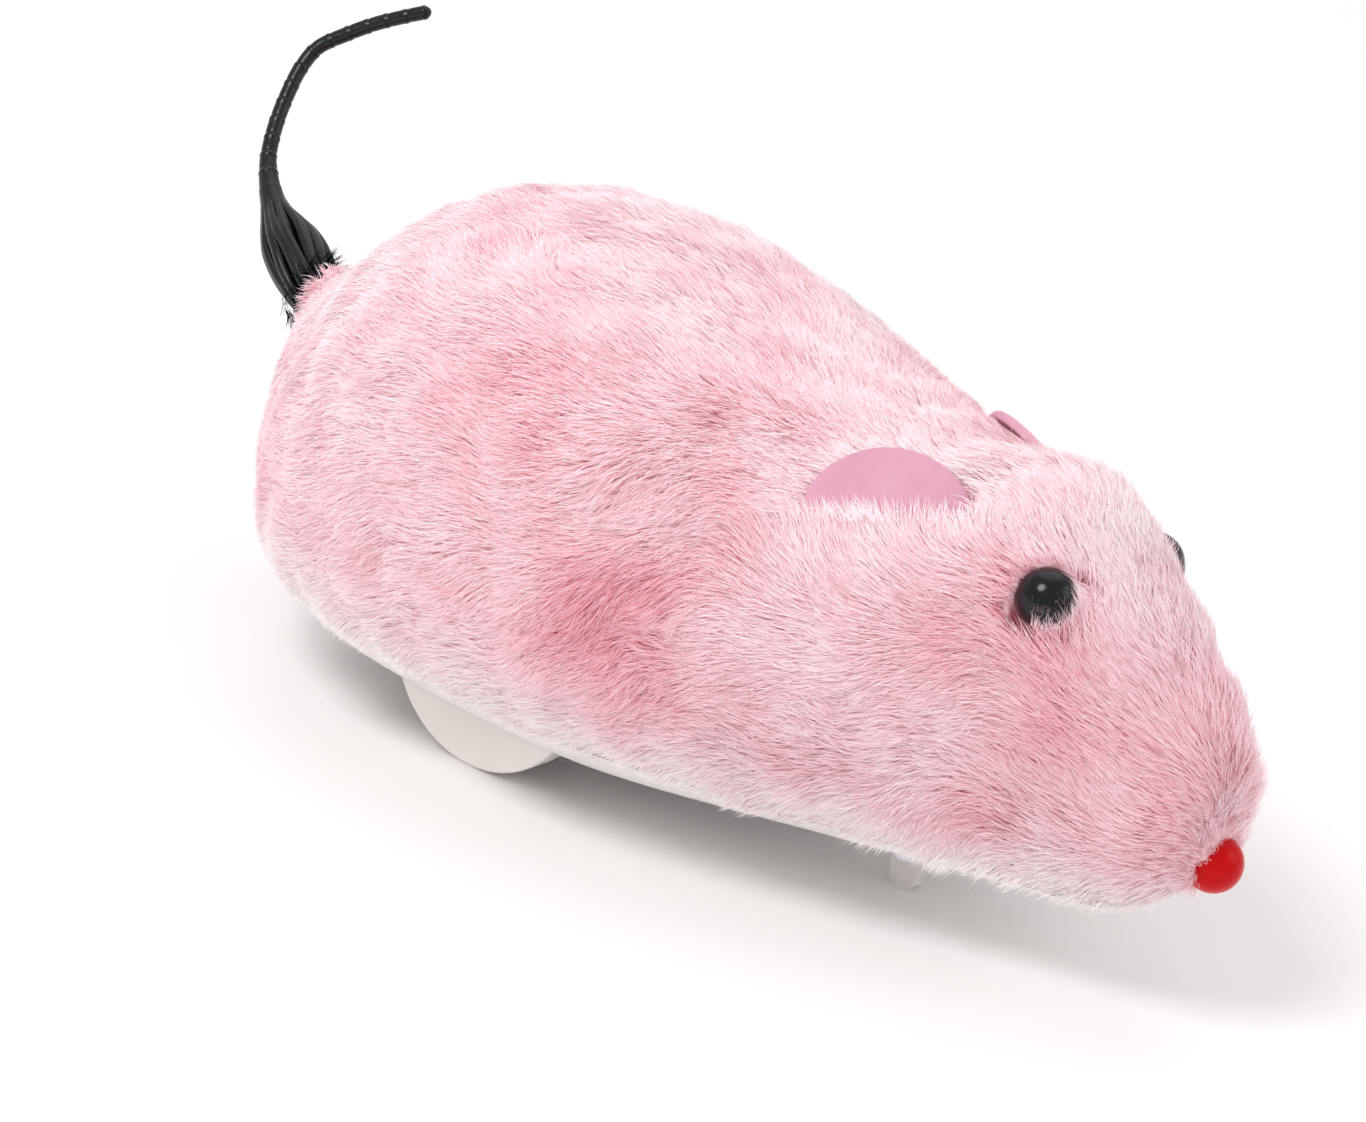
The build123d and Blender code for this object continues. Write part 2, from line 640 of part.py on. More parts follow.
# Crown gear: its pinion is driven by the great gear and its face teeth drive the tail pinion
CROWN_TOOTH_R = (6.3, 7.9)
CROWN_TIP = 0.42
CROWN_ROOT = 0.75
CROWN_SUNK = 0.85         # teeth rooted in the disc
TAIL_PINION_R = MODULE * TAIL_PINION_TEETH / 2
TAIL_PINION_X = (CROWN[0] - CROWN_TOOTH_R[1], CROWN[0] - CROWN_TOOTH_R[0])
crown_tooth_half = TOOTH_SHARE * pi * MODULE / 2

save(pivoted_shaft(CROWN), "crown_shaft")
with BuildPart() as crown_gear:
    add(spur(CROWN, PINION_TEETH, CROWN_PINION_PHASE, SMALL_PINION_Y, GEAR_SHAFT_R))
    add(rod(CROWN, SLEEVE_R, (SMALL_PINION_Y[1], CROWN_DISC_Y[0]), GEAR_SHAFT_R))
    add(rod(CROWN, CROWN_TOOTH_R[1], CROWN_DISC_Y, GEAR_SHAFT_R))
    for index in range(CROWN_TEETH):
        turn = radians(180 + index * 360 / CROWN_TEETH)
        outward = Vector(cos(turn), 0, sin(turn))
        start = Vector(CROWN[0], TAIL_PINION_R, CROWN[1]) + outward * CROWN_TOOTH_R[0]
        with BuildSketch(Plane(origin=start, x_dir=(0, 1, 0), z_dir=outward)):
            with BuildLine():
                spread = tan(PRESSURE_ANGLE)
                tip = crown_tooth_half - CROWN_TIP * spread
                root = crown_tooth_half + CROWN_ROOT * spread
                foot = ((CROWN_SUNK, -root), (CROWN_SUNK, root))
                Polyline((-CROWN_TIP, -tip), *foot, (-CROWN_TIP, tip), close=True)
            make_face()
        extrude(amount=CROWN_TOOTH_R[1] - CROWN_TOOTH_R[0])
save(crown_gear.part, "crown_gear")

# Great gear, its click, and the arbor that the key winds
RATCHET_TEETH = 12
RATCHET_R = (4.1, 5.4)
RATCHET_PITCH = 360 / RATCHET_TEETH
CLICK_TOOTH = 7 * RATCHET_PITCH          # the tooth face that the click bears on
CLICK_PIVOT = polar(ARBOR, 9.0, 158)
CLICK_TIP = polar(ARBOR, 4.7, CLICK_TOOTH - 2.5)
CLICK_EYE_R = 1.5
CLICK_HALF = 0.22        # half the width of the click's springy arm
CLICK_RIVET_R = 0.7
CLICK_RIVET_HEAD_R = 1.2
CLICK_RIVET_HEAD = 0.4

with BuildPart() as great_gear:
    add(spur(ARBOR, GREAT_TEETH, GREAT_PHASE, GREAT_Y, ARBOR_R + RUNNING))
    add(rod(CLICK_PIVOT, CLICK_RIVET_R, GREAT_Y), mode=Mode.SUBTRACT)
save(great_gear.part, "great_gear")

with BuildPart() as click:
    with BuildSketch(across(CLICK_Y[1])):
        with BuildLine():
            reach = Vector(*CLICK_TIP) - Vector(*CLICK_PIVOT)
            side_step = reach.normalized().rotate(Axis.Z, 90)
            eye, tip = Vector(*CLICK_PIVOT), Vector(*CLICK_TIP)
            half_step = side_step * CLICK_HALF
            Polyline(eye + half_step, tip + half_step, tip - half_step, eye - half_step, close=True)
        make_face()
        with Locations(CLICK_PIVOT):
            Circle(CLICK_EYE_R)
            Circle(CLICK_RIVET_R, mode=Mode.SUBTRACT)
    extrude(amount=CLICK_Y[1] - CLICK_Y[0])
save(click.part, "click")

with BuildPart() as click_rivet:
    add(rod(CLICK_PIVOT, CLICK_RIVET_R, (GREAT_Y[0], CLICK_Y[1])))
    add(rod(CLICK_PIVOT, CLICK_RIVET_HEAD_R, (GREAT_Y[0] - CLICK_RIVET_HEAD, GREAT_Y[0])))
save(click_rivet.part, "click_rivet")


def ratchet_point(index, radius):
    angle = radians(index * RATCHET_PITCH)
    return (radius * cos(angle), radius * sin(angle))


with BuildPart() as ratchet_wheel:
    with BuildSketch(across(RATCHET_Y[1], ARBOR)):
        with BuildLine():
            corners = []
            for index in range(RATCHET_TEETH):
                corners += [ratchet_point(index, RATCHET_R[1]), ratchet_point(index + 1, RATCHET_R[0])]
            Polyline(*corners, close=True)
        make_face()
        Circle(ARBOR_R, mode=Mode.SUBTRACT)
    extrude(amount=RATCHET_Y[1] - RATCHET_Y[0])
save(ratchet_wheel.part, "ratchet_wheel")

ARBOR_TIP_Y = 33.0
with BuildPart() as winding_arbor:
    add(rod(ARBOR, ARBOR_PIVOT_R, (-PLATE_OUTER_Y, -PLATE_INNER_Y + SHOULDER)))
    add(rod(ARBOR, ARBOR_R, (-PLATE_INNER_Y + SHOULDER, ARBOR_TIP_Y)))
save(winding_arbor.part, "winding_arbor")

# Mainspring: a spiral strip whose outer end loops round the front pillar
SPRING_TURNS = 6
SPRING_STRIP = 0.35
SPRING_R = (1.65, 10.6)
SPRING_POINTS = 10       # per turn
SPRING_PILLAR = PILLARS[2]
hook_reach = sqrt((SPRING_PILLAR[0] - ARBOR[0]) ** 2 + (SPRING_PILLAR[1] - ARBOR[1]) ** 2)
hook_angle = degrees(atan2(SPRING_PILLAR[1] - ARBOR[1], SPRING_PILLAR[0] - ARBOR[0]))
lead_out = 0.7           # last part of a turn, where the strip swings out to the pillar


def spring_radius(turns):
    steady = SPRING_R[0] + (SPRING_R[1] - SPRING_R[0]) * turns / SPRING_TURNS
    swing = max(0.0, (turns - SPRING_TURNS + lead_out) / lead_out)
    return steady + (hook_reach - PILLAR_R - SPRING_STRIP - SPRING_R[1]) * swing**2


def spring_edge(extra):
    """Points along one face of the strip, from the arbor outwards."""
    points = []
    for step in range(SPRING_TURNS * SPRING_POINTS + 1):
        turns = step / SPRING_POINTS
        radius = spring_radius(turns) + extra
        points.append(polar((0, 0), radius, hook_angle + 360 * turns))
    return points


with BuildPart() as mainspring:
    with BuildSketch(across(SPRING_Y[1], ARBOR)):
        with BuildLine():
            inner_face = Spline(*spring_edge(0.0))
            outer_face = Spline(*spring_edge(SPRING_STRIP))
            Line(inner_face @ 0, outer_face @ 0)
            Line(inner_face @ 1, outer_face @ 1)
        make_face()
        with Locations(polar((0, 0), hook_reach, hook_angle)):
            Circle(PILLAR_R + SPRING_STRIP)
            Circle(PILLAR_R, mode=Mode.SUBTRACT)
    extrude(amount=SPRING_Y[1] - SPRING_Y[0])
save(mainspring.part, "mainspring")

# Winding key: a hub on the arbor and a flat wing, in a round opening of the plush
KEY_HUB_R = 3.2
KEY_HUB_Y = (28.3, 33.6)
KEY_WING_Y = (29.0, HALF_WIDTH)
KEY_WING_LENGTH = 17.0
KEY_WING_THICK = 2.4
KEY_WING_ROUND = 2.6
KEY_TURN = 35.0          # the wing's slope at rest, degrees up from +X
with BuildPart() as winding_key:
    add(rod(ARBOR, KEY_HUB_R, KEY_HUB_Y))
    wing_along = (cos(radians(KEY_TURN)), 0, sin(radians(KEY_TURN)))
    wing_normal = (-sin(radians(KEY_TURN)), 0, cos(radians(KEY_TURN)))
    wing_y = sum(KEY_WING_Y) / 2
    with BuildSketch(Plane(origin=(ARBOR[0], wing_y, ARBOR[1]), x_dir=wing_along, z_dir=wing_normal)):
        Rectangle(KEY_WING_LENGTH, KEY_WING_Y[1] - KEY_WING_Y[0])
        fillet(vertices(), KEY_WING_ROUND)
    extrude(amount=KEY_WING_THICK / 2, both=True)
    add(rod(ARBOR, ARBOR_R, (KEY_HUB_Y[0], ARBOR_TIP_Y)), mode=Mode.SUBTRACT)
save(winding_key.part, "winding_key")

# ---- tail ------------------------------------------------------------------------------------
TAIL_SHAFT_X = (-60.0, -2.0)
TAIL_PINION_HUB_R = 1.5
TAIL_PINION_HUB = 2.6
TAIL_HUB_R = 2.6
TAIL_HUB_FRONT_X = -53.4
TAIL_TILT = 41.0         # rest position of the tail's plane, from upright towards the left side

with BuildPart() as tail_shaft:
    with BuildSketch(lengthwise(TAIL_SHAFT_X[0])):
        Circle(TAIL_SHAFT_R)
    extrude(amount=TAIL_SHAFT_X[1] - TAIL_SHAFT_X[0])
save(tail_shaft.part, "tail_shaft")

with BuildPart() as tail_pinion:
    with BuildSketch(lengthwise(TAIL_PINION_X[0])):
        make_face(gear_outline(TAIL_PINION_TEETH, 180 / TAIL_PINION_TEETH))
    extrude(amount=TAIL_PINION_X[1] - TAIL_PINION_X[0])
    with BuildSketch(lengthwise(TAIL_PINION_X[0] - TAIL_PINION_HUB)):
        Circle(TAIL_PINION_HUB_R)
    extrude(amount=TAIL_PINION_HUB)
    with BuildSketch(lengthwise(TAIL_PINION_X[0] - TAIL_PINION_HUB)):
        Circle(TAIL_SHAFT_R)
    extrude(amount=TAIL_PINION_HUB + TAIL_PINION_X[1] - TAIL_PINION_X[0], mode=Mode.SUBTRACT)
save(tail_pinion.part, "tail_pinion")

# Centre line of the tail in its own plane: distance along X, distance off the axis, radius.
TAIL_LINE = [
    (-56.6, -0.1, 3.3),
    (-59.9, 1.4, 3.75),
    (-62.7, 3.0, 3.9),
    (-65.1, 4.3, 3.6),
    (-67.1, 5.5, 2.9),
    (-69.5, 7.1, 2.0),
    (-71.9, 9.1, 1.4),
    (-73.9, 11.2, 1.15),
    (-75.5, 13.4, 1.0),
    (-77.2, 17.2, 0.95),
    (-78.4, 21.3, 0.93),
    (-79.0, 24.9, 0.92),
    (-78.6, 28.1, 0.9),
    (-76.3, 31.0, 0.9),
    (-73.5, 33.8, 0.88),
    (-70.4, 36.2, 0.86),
    (-68.1, 37.9, 0.8),
    (-67.5, 38.3, 0.35),
]


def tail_point(x, rise):
    tilt = radians(TAIL_TILT)
    return Vector(x, rise * sin(tilt), TAIL_AXIS_Z + rise * cos(tilt))


with BuildPart() as tail:
    centres = [tail_point(x, rise) for x, rise, _ in TAIL_LINE]
    for index, (centre, station) in enumerate(zip(centres, TAIL_LINE)):
        before = centres[max(index - 1, 0)]
        after = centres[min(index + 1, len(centres) - 1)]
        heading = Vector(-1, 0, 0) if index == 0 else (after - before).normalized()
        across_tail = Vector(0, cos(radians(TAIL_TILT)), -sin(radians(TAIL_TILT)))
        with BuildSketch(Plane(origin=centre, x_dir=across_tail, z_dir=heading)):
            Circle(station[2])
    loft()
    with BuildSketch(lengthwise(TAIL_HUB_FRONT_X)):
        Circle(TAIL_HUB_R)
    extrude(amount=TAIL_LINE[0][0] - TAIL_HUB_FRONT_X)
    with BuildSketch(lengthwise(TAIL_SHAFT_X[0])):
        Circle(TAIL_SHAFT_R)
    extrude(amount=TAIL_HUB_FRONT_X - TAIL_SHAFT_X[0], mode=Mode.SUBTRACT)
save(tail.part, "tail")
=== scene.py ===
import json
import math

import bpy
import numpy as np
from mathutils import Matrix, Vector
from mathutils.kdtree import KDTree


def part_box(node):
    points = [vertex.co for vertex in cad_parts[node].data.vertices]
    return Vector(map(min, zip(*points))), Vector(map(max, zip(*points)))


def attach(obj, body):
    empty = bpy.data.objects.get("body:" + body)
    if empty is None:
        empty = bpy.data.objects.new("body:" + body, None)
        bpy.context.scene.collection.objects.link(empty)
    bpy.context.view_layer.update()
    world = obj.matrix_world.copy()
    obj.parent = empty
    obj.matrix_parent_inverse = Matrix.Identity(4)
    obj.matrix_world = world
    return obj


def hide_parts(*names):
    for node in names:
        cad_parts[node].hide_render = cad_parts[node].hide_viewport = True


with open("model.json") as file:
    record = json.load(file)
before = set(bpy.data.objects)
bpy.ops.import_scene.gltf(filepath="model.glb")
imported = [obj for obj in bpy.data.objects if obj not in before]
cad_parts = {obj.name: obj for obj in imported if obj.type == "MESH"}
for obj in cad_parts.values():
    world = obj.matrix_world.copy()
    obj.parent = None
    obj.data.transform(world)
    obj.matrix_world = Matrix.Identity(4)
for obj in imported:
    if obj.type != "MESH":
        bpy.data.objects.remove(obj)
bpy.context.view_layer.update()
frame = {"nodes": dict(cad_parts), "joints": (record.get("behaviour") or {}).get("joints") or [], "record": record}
nodes = frame["nodes"]
MM = 0.001

rng = np.random.default_rng(20)
STRANDS = 390000


def unit(vectors):
    return vectors / np.maximum(np.linalg.norm(vectors, axis=-1, keepdims=True), 1e-12)


def centre_of(node):
    low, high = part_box(node)
    return np.array((low + high) / 2)


# ---- materials ---------------------------------------------------------------------


def srgb(red, green, blue):
    values = np.array([red, green, blue]) / 255
    linear = np.where(values <= 0.04045, values / 12.92, ((values + 0.055) / 1.055) ** 2.4)
    return (*linear.tolist(), 1.0)


def plain(name, colour, roughness, **sockets):
    """A principled material and its shader node."""
    material = bpy.data.materials.new(name)
    material.use_nodes = True
    shader = material.node_tree.nodes["Principled BSDF"]
    shader.inputs["Base Color"].default_value = colour
    shader.inputs["Roughness"].default_value = roughness
    for socket, value in sockets.items():
        shader.inputs[socket.replace("_", " ")].default_value = value
    material.diffuse_color = colour
    return material, shader


def mottled(name, light, dark, scale, roughness, bump=0.0, bump_scale=900.0, **sockets):
    """A principled material that drifts between two shades, with an optional fine bump."""
    material, shader = plain(name, light, roughness, **sockets)
    tree = material.node_tree
    place = tree.nodes.new("ShaderNodeTexCoord")
    noise = tree.nodes.new("ShaderNodeTexNoise")
    noise.inputs["Scale"].default_value = scale
    noise.inputs["Detail"].default_value = 3.0
    ramp = tree.nodes.new("ShaderNodeValToRGB")
    ramp.color_ramp.elements[0].position = 0.35
    ramp.color_ramp.elements[1].position = 0.65
    ramp.color_ramp.elements[0].color = dark
    ramp.color_ramp.elements[1].color = light
    tree.links.new(place.outputs["Object"], noise.inputs["Vector"])
    tree.links.new(noise.outputs["Fac"], ramp.inputs["Fac"])
    tree.links.new(ramp.outputs["Color"], shader.inputs["Base Color"])
    if bump:
        grain = tree.nodes.new("ShaderNodeTexNoise")
        grain.inputs["Scale"].default_value = bump_scale
        relief = tree.nodes.new("ShaderNodeBump")
        relief.inputs["Strength"].default_value = bump
        relief.inputs["Distance"].default_value = 0.1 * MM
        tree.links.new(place.outputs["Object"], grain.inputs["Vector"])
        tree.links.new(grain.outputs["Fac"], relief.inputs["Height"])
        tree.links.new(relief.outputs["Normal"], shader.inputs["Normal"])
    return material


PILE_SHADES = [
    srgb(255, 248, 249),
    srgb(255, 240, 243),
    srgb(254, 231, 236),
    srgb(253, 220, 227),
    srgb(251, 206, 215),
    srgb(247, 186, 198),
    srgb(238, 158, 173),
    srgb(228, 134, 152),
]
PILE_PAINTED_GLOW = 0.055
pile_materials = []
for index, shade in enumerate(PILE_SHADES):
    # Painted glow: a faint emission stands in for light that has passed through several fibres and comes out
    # deeper in colour, lifting the shade between them.
    painted_glow = [channel**3 for channel in shade[:3]] + [1.0]
    sockets = {"Specular_IOR_Level": 0.4, "Emission_Color": painted_glow, "Emission_Strength": PILE_PAINTED_GLOW}
    pile_materials.append(plain(f"plush_pile_{index}", shade, 0.45, **sockets)[0])
plush_backing = mottled("plush_backing", srgb(253, 222, 229), srgb(250, 206, 216), 90, 0.9)
ear_felt = mottled(
    "ear_felt", srgb(220, 164, 182), srgb(212, 150, 171), 90, 0.75, 0.2, 5000, Sheen_Weight=0.15
)
black_bead = mottled(
    "black_bead", srgb(14, 13, 14), srgb(9, 9, 10), 300, 0.16, Specular_IOR_Level=0.32
)
red_bead = mottled(
    "red_bead", srgb(204, 4, 9), srgb(192, 3, 7), 200, 0.2, Specular_IOR_Level=0.14
)
white_plastic = mottled("white_plastic", srgb(244, 239, 238), srgb(238, 232, 231), 60, 0.42, 0.05, 2500)
wheel_plastic = mottled("wheel_plastic", srgb(247, 239, 235), srgb(242, 233, 229), 80, 0.4, 0.05, 2500)
gear_plastic = mottled("gear_plastic", srgb(236, 232, 220), srgb(228, 222, 208), 120, 0.45)
black_rubber = mottled(
    "black_rubber", srgb(13, 12, 15), srgb(7, 7, 9), 350, 0.26, 0.08, 3000, Specular_IOR_Level=0.4
)
bright_steel = mottled(
    "bright_steel", srgb(205, 207, 210), srgb(185, 187, 190), 500, 0.3, Metallic=1.0
)
spring_steel = mottled(
    "spring_steel", srgb(140, 146, 158), srgb(116, 122, 136), 400, 0.35, Metallic=1.0
)
brass = mottled("brass", srgb(214, 178, 104), srgb(196, 158, 84), 400, 0.33, Metallic=1.0)

FINISHES = {
    "plush": plush_backing,
    "ear_felt": ear_felt,
    "black_bead": black_bead,
    "red_bead": red_bead,
    "white_plastic": white_plastic,
    "wheel_plastic": wheel_plastic,
    "gear_plastic": gear_plastic,
    "black_rubber": black_rubber,
    "bright_steel": bright_steel,
    "spring_steel": spring_steel,
    "brass": brass,
}
for entry in frame["record"]["subparts"]:
    part = nodes[entry["node"]]
    part.data.materials.clear()
    part.data.materials.append(FINISHES[entry["material_slot"]])


# ---- meshes --------------------------------------------------------------------------


def new_object(name, points, faces, material, smooth=True):
    mesh = bpy.data.meshes.new(name)
    mesh.from_pydata(points, [], faces)
    mesh.materials.append(material)
    mesh.polygons.foreach_set("use_smooth", [smooth] * len(mesh.polygons))
    mesh.update()
    made = bpy.data.objects.new(name, mesh)
    bpy.context.scene.collection.objects.link(made)
    return made


def vertex_arrays(mesh):
    points = np.empty(len(mesh.vertices) * 3)
    mesh.vertices.foreach_get("co", points)
    normals = np.empty(len(mesh.vertices) * 3)
    mesh.vertices.foreach_get("normal", normals)
    return points.reshape(-1, 3), normals.reshape(-1, 3)


def remeshed(node, name, voxel, smoothing, material):
    """An evenly meshed copy of a CAD node's shape."""
    rough = nodes[node].copy()
    rough.data = nodes[node].data.copy()
    rough.parent = None
    bpy.context.scene.collection.objects.link(rough)
    even = rough.modifiers.new("even", "REMESH")
    even.mode = "VOXEL"
    even.voxel_size = voxel
    soften = rough.modifiers.new("soften", "SMOOTH")
    soften.iterations = smoothing
    soften.factor = 0.5
    depsgraph = bpy.context.evaluated_depsgraph_get()
    mesh = bpy.data.meshes.new_from_object(rough.evaluated_get(depsgraph))
    bpy.data.objects.remove(rough)
    mesh.name = name
    mesh.materials.clear()
    mesh.materials.append(material)
    mesh.polygons.foreach_set("use_smooth", [True] * len(mesh.polygons))
    made = bpy.data.objects.new(name, mesh)
    bpy.context.scene.collection.objects.link(made)
    return made


# ---- plush backing ---------------------------------------------------------------------

PILE_DEPTH = 1.7 * MM
HEM_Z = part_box("fur_cover")[0].z
joints = {j["name"]: j for j in frame["joints"]}
KEY_AT = np.array(joints["key_wind"]["pos_m"])
TAIL_AT = np.array(joints["tail_spin"]["pos_m"])
KEY_HOLE_R = 9.6 * MM
TAIL_HOLE_R = 3.9 * MM
EAR_DISH_ALONG = 0.012 / MM
EAR_DISH_UP = 0.010 / MM

pelt = remeshed("fur_cover", "plush_backing", 1.0 * MM, 3, plush_backing)
pelt_points, pelt_normals = vertex_arrays(pelt.data)


def spine(points):
    """The nearest point of a line running through the middle of the body."""
    x = np.clip(points[:, 0], -45 * MM, 70 * MM)
    sag = 28 * MM - 0.13 * np.maximum(x - 20 * MM, 0)
    return np.stack([x, np.zeros(len(x)), sag], axis=1)


def outward(points, normals):
    """How far a surface faces away from the middle of the body, from -1 to 1."""
    return (unit(points - spine(points)) * normals).sum(1)


facing = outward(pelt_points, pelt_normals)
sunk = np.clip((facing - 0.1) / 0.4, 0, 1) * PILE_DEPTH
pelt_points = pelt_points - pelt_normals * sunk[:, None]
pelt.data.vertices.foreach_set("co", pelt_points.ravel())
pelt.data.update()
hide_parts("fur_cover")
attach(pelt, "mouse_body")


# ---- ears ----------------------------------------------------------------------------


def felt_ear(side):
    """Makes the felt flap, dished towards the pile; returns its middle, axes and extent."""
    made = remeshed(f"ear_{side}", f"ear_{side}_felt", 0.28 * MM, 2, ear_felt)
    points, _ = vertex_arrays(made.data)
    middle = points.mean(0)
    _, _, axes = np.linalg.svd(points - middle, full_matrices=False)
    along, rise, thin = axes
    rise = rise if rise[2] > 0 else -rise
    outwards = np.array([0, middle[1], 20 * MM])
    thin = thin if thin @ outwards > 0 else -thin
    local = (points - middle) @ np.stack([along, rise, thin]).T
    risen = local[:, 1] - local[:, 1].min()
    dish = local[:, 0] ** 2 * EAR_DISH_ALONG + risen**2 * EAR_DISH_UP
    points = points - np.outer(dish, thin)
    made.data.vertices.foreach_set("co", points.ravel())
    made.data.update()
    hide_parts(f"ear_{side}")
    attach(made, "mouse_body")
    return middle, (along, rise, thin), local.min(0), local.max(0)


ears = [felt_ear(side) for side in ("left", "right")]


# ---- pile ------------------------------------------------------------------------------


def waves(points, wavelength, seed, count=14):
    """A smooth random field, mostly within 1.5 of 0, that varies over about a wavelength."""
    local = np.random.default_rng(seed)
    ways = unit(local.normal(size=(count, 3)))
    rates = 2 * math.pi / wavelength * local.uniform(0.7, 1.4, size=(count, 1))
    phases = local.uniform(0, 2 * math.pi, count)
    return np.sin(points @ (ways * rates).T + phases).sum(1) / math.sqrt(count / 2)


def near(points, place, reach):
    """1 at a place in mm, fading to 0 over about twice the reach."""
    gap = (points - np.array(place) * MM) / (reach * MM)
    return np.exp(-0.5 * (gap**2).sum(1))


def spots(points, table):
    """The sum of a table of (amount, place in mm, reach in mm)."""
    return sum(amount * near(points, place, reach) for amount, place, reach in table)


def fade(points, place, reach):
    """1 at a place in metres, fading to nothing over about twice the reach."""
    return np.exp(-((np.linalg.norm(points - place, axis=1) / reach) ** 2))


def sample_roots(mesh, count):
    """Random points on the outer side of the backing, with their normals."""
    points, normals = vertex_arrays(mesh)
    mesh.calc_loop_triangles()
    corners = np.empty(len(mesh.loop_triangles) * 3, int)
    mesh.loop_triangles.foreach_get("vertices", corners)
    corners = corners.reshape(-1, 3)
    trio = points[corners]
    across = np.cross(trio[:, 1] - trio[:, 0], trio[:, 2] - trio[:, 0])
    area = np.linalg.norm(across, axis=1)
    middle = trio.mean(1)
    flat = across / np.maximum(area, 1e-15)[:, None]
    turned_under = (flat[:, 2] < -0.8) & (middle[:, 2] < HEM_Z + 1 * MM)
    keep = (outward(middle, flat) > 0.25) & ~turned_under
    key_gap = np.hypot(middle[:, 0] - KEY_AT[0], middle[:, 2] - KEY_AT[2])
    keep &= ~((middle[:, 1] > 0) & (key_gap < KEY_HOLE_R + 0.3 * MM))
    tail_gap = np.hypot(middle[:, 1] - TAIL_AT[1], middle[:, 2] - TAIL_AT[2])
    keep &= ~((middle[:, 0] < -45 * MM) & (tail_gap < TAIL_HOLE_R + 0.2 * MM))
    chosen = rng.choice(len(area), count, p=area * keep / (area * keep).sum())
    share = rng.random((count, 2))
    fold = share.sum(1) > 1
    share[fold] = 1 - share[fold]
    weights = np.stack([1 - share.sum(1), share[:, 0], share[:, 1]], axis=1)[:, :, None]
    return (trio[chosen] * weights).sum(1), unit((normals[corners[chosen]] * weights).sum(1))


def turned(vectors, axes, angles):
    """Unit vectors turned about unit axes, one angle each."""
    cosine, sine = np.cos(angles)[:, None], np.sin(angles)[:, None]
    kept = axes * (vectors * axes).sum(1)[:, None]
    return vectors * cosine + np.cross(axes, vectors) * sine + kept * (1 - cosine)


def tangent(vectors, normals):
    return unit(vectors - normals * (vectors * normals).sum(1)[:, None])


def ramp(values, low, high):
    return np.clip((values - low) / (high - low), 0, 1)


EYE_BEAD_R = 3.4 * MM
NOSE_R = (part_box("nose")[1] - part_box("nose")[0]).y / 2


def eye_centre(side, sign):
    """Middle of an eye's ball, which fills its box's outer corner: the shank runs inwards."""
    low, high = (np.array(corner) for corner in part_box(f"eye_{side}"))
    y = high[1] - EYE_BEAD_R if sign > 0 else low[1] + EYE_BEAD_R
    return np.array([high[0] - EYE_BEAD_R, y, high[2] - EYE_BEAD_R])


eyes = {"left": eye_centre("left", 1), "right": eye_centre("right", -1)}
nose_at = centre_of("nose")
nose_at[0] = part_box("nose")[1].x - NOSE_R

roots, normals = sample_roots(pelt.data, STRANDS)
x, y, z = roots.T / MM
head = ramp(x, 38, 58)
muzzle = ramp(x, 58, 74)
hem = 1 - ramp(z, HEM_Z / MM + 0.5, HEM_Z / MM + 7)
pale = 1 - ramp(z, HEM_Z / MM + 2, HEM_Z / MM + 12 - 5 * ramp(x, 25, 50))
flank = np.abs(normals[:, 1])
brow = near(roots, (57, 0, 49), 7.0)

# The pile is combed rearwards, down the flanks, up over the brow and outwards round the nose.
comb = np.stack([-np.ones_like(x), np.zeros_like(x), -0.15 - 0.5 * flank * (1 - head)], axis=1)
comb += head[:, None] * (1 - muzzle)[:, None] * np.array([0.25, 0, 0.55])
comb += hem[:, None] * np.stack([-0.4 + 0 * x, 0 * x, -0.8 - 0.5 * head], axis=1)
from_nose = unit((roots - nose_at) * np.array([0.3, 1, 1]))
nose_ring = fade(roots, nose_at, 6.5 * MM)
star = from_nose + np.array([0.4, 0, 0.2])
comb = comb * (1 - nose_ring)[:, None] + nose_ring[:, None] * star
for middle, (along, rise, thin), low, high in ears:
    sewn = np.clip((roots - middle) @ along, low[0], high[0])[:, None] * along + low[1] * rise
    gap = roots - middle - sewn
    below = fade(gap, 0, 4.5 * MM) * (gap @ rise < 0.5 * MM)
    over_edge = unit(rise + 0.45 * thin - 0.35 * np.sign(along[0]) * along)
    comb = unit(comb) * (1 - below)[:, None] + below[:, None] * over_edge
comb = tangent(comb, normals)
swirl = 0.30 * waves(roots, 38 * MM, 1) + 0.22 * waves(roots, 12 * MM, 2)
swirl += 0.22 * rng.normal(size=STRANDS)
comb = turned(comb, normals, swirl * (1 - 0.5 * muzzle) * (1 - 0.6 * hem))

# Lengths are in mm until the last line of the sum.
LENGTH_SPOTS = [
    (1.2, (76, 3, 29), 6),
    (-0.8, (-46, -22, 22), 12),
    (-1.8, (24, 0, 54), 14),
]
tail_end = near(roots, (-54, -2, 35), 9)
bridge = near(roots, (69.5, 0, 41), 6)
length = 4.7 - 0.9 * head - 0.8 * muzzle + 1.1 * brow + 0.35 * waves(roots, 9 * MM, 3)
length += 2.6 * bridge + spots(roots, LENGTH_SPOTS) - (0.8 - 0.5 * head) * hem
length = (length * rng.uniform(0.75, 1.15, STRANDS) * (1 - 0.6 * tail_end)).clip(1.6, 9.0) * MM
for eye in eyes.values():
    length *= 1 - 0.15 * fade(roots, eye, 6 * MM)
length *= 1 - 0.45 * nose_ring
for middle, (along, rise, thin), low, high in ears:
    length += 1.2 * MM * near(roots, (middle + low[1] * rise) / MM, 7.0)
lift = 0.95 + 0.16 * waves(roots, 8 * MM, 4) + 0.2 * rng.normal(size=STRANDS)
lift += 0.55 * brow + 0.7 * bridge - 0.3 * muzzle - 0.4 * tail_end
lift = lift.clip(0.25, 1.6)

